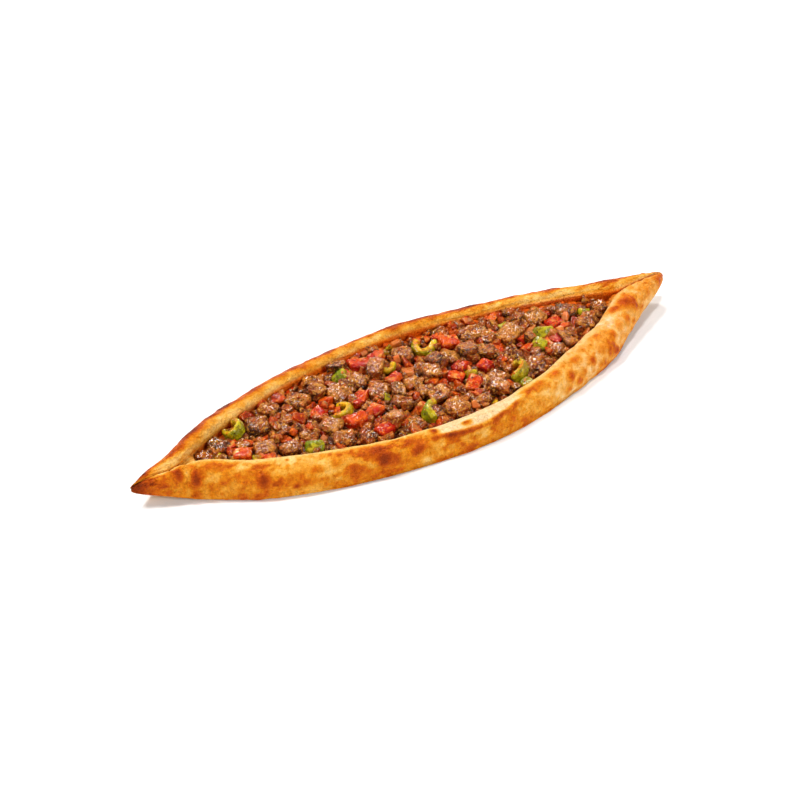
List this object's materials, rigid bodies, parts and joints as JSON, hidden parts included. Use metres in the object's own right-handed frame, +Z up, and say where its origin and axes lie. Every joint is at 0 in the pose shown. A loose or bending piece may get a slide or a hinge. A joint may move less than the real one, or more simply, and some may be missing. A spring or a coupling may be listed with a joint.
{
  "type": "turkish pide",
  "caption": "Boat-shaped baked dough with a rolled rim and pointed tips, open on top and filled with diced meat, tomato and green pepper in an oily sauce.",
  "frame": {"origin": "under the middle of the bounding box, on the flat underside", "axes": "+X along the boat to its blunt tip, +Y to its back rim, +Z up"},
  "size_m": [0.42, 0.1312, 0.0237],
  "materials": {
    "crust": "baked golden dough, brown patches, light oil sheen",
    "sauce": "oily, wet",
    "meat": "browned diced meat, moist",
    "tomato": "cooked tomato, wet",
    "pepper": "cooked green pepper, wet"
  },
  "bodies": {
    "root": {"crust": "crust", "filling_bed": "sauce", "meat_01": "meat", "meat_02": "meat", "meat_03": "meat", "meat_04": "meat", "meat_05": "meat", "meat_06": "meat", "meat_07": "meat", "meat_08": "meat", "meat_09": "meat", "meat_10": "meat", "meat_11": "meat", "meat_12": "meat", "meat_13": "meat", "meat_14": "meat", "meat_15": "meat", "meat_16": "meat", "meat_17": "meat", "meat_18": "meat", "meat_19": "meat", "meat_20": "meat", "meat_21": "meat", "meat_22": "meat", "meat_23": "meat", "meat_24": "meat", "meat_25": "meat", "meat_26": "meat", "meat_27": "meat", "meat_28": "meat", "meat_29": "meat", "meat_30": "meat", "meat_31": "meat", "meat_32": "meat", "meat_33": "meat", "tomato_01": "tomato", "tomato_02": "tomato", "tomato_03": "tomato", "tomato_04": "tomato", "tomato_05": "tomato", "tomato_06": "tomato", "tomato_07": "tomato", "tomato_08": "tomato", "tomato_09": "tomato", "tomato_10": "tomato", "tomato_11": "tomato", "tomato_12": "tomato", "tomato_13": "tomato", "pepper_01": "pepper", "pepper_02": "pepper", "pepper_03": "pepper", "pepper_04": "pepper", "pepper_05": "pepper", "pepper_06": "pepper", "pepper_07": "pepper", "pepper_08": "pepper", "pepper_09": "pepper", "pepper_10": "pepper", "pepper_11": "pepper", "pepper_12": "pepper"}
  },
  "joints": []
}
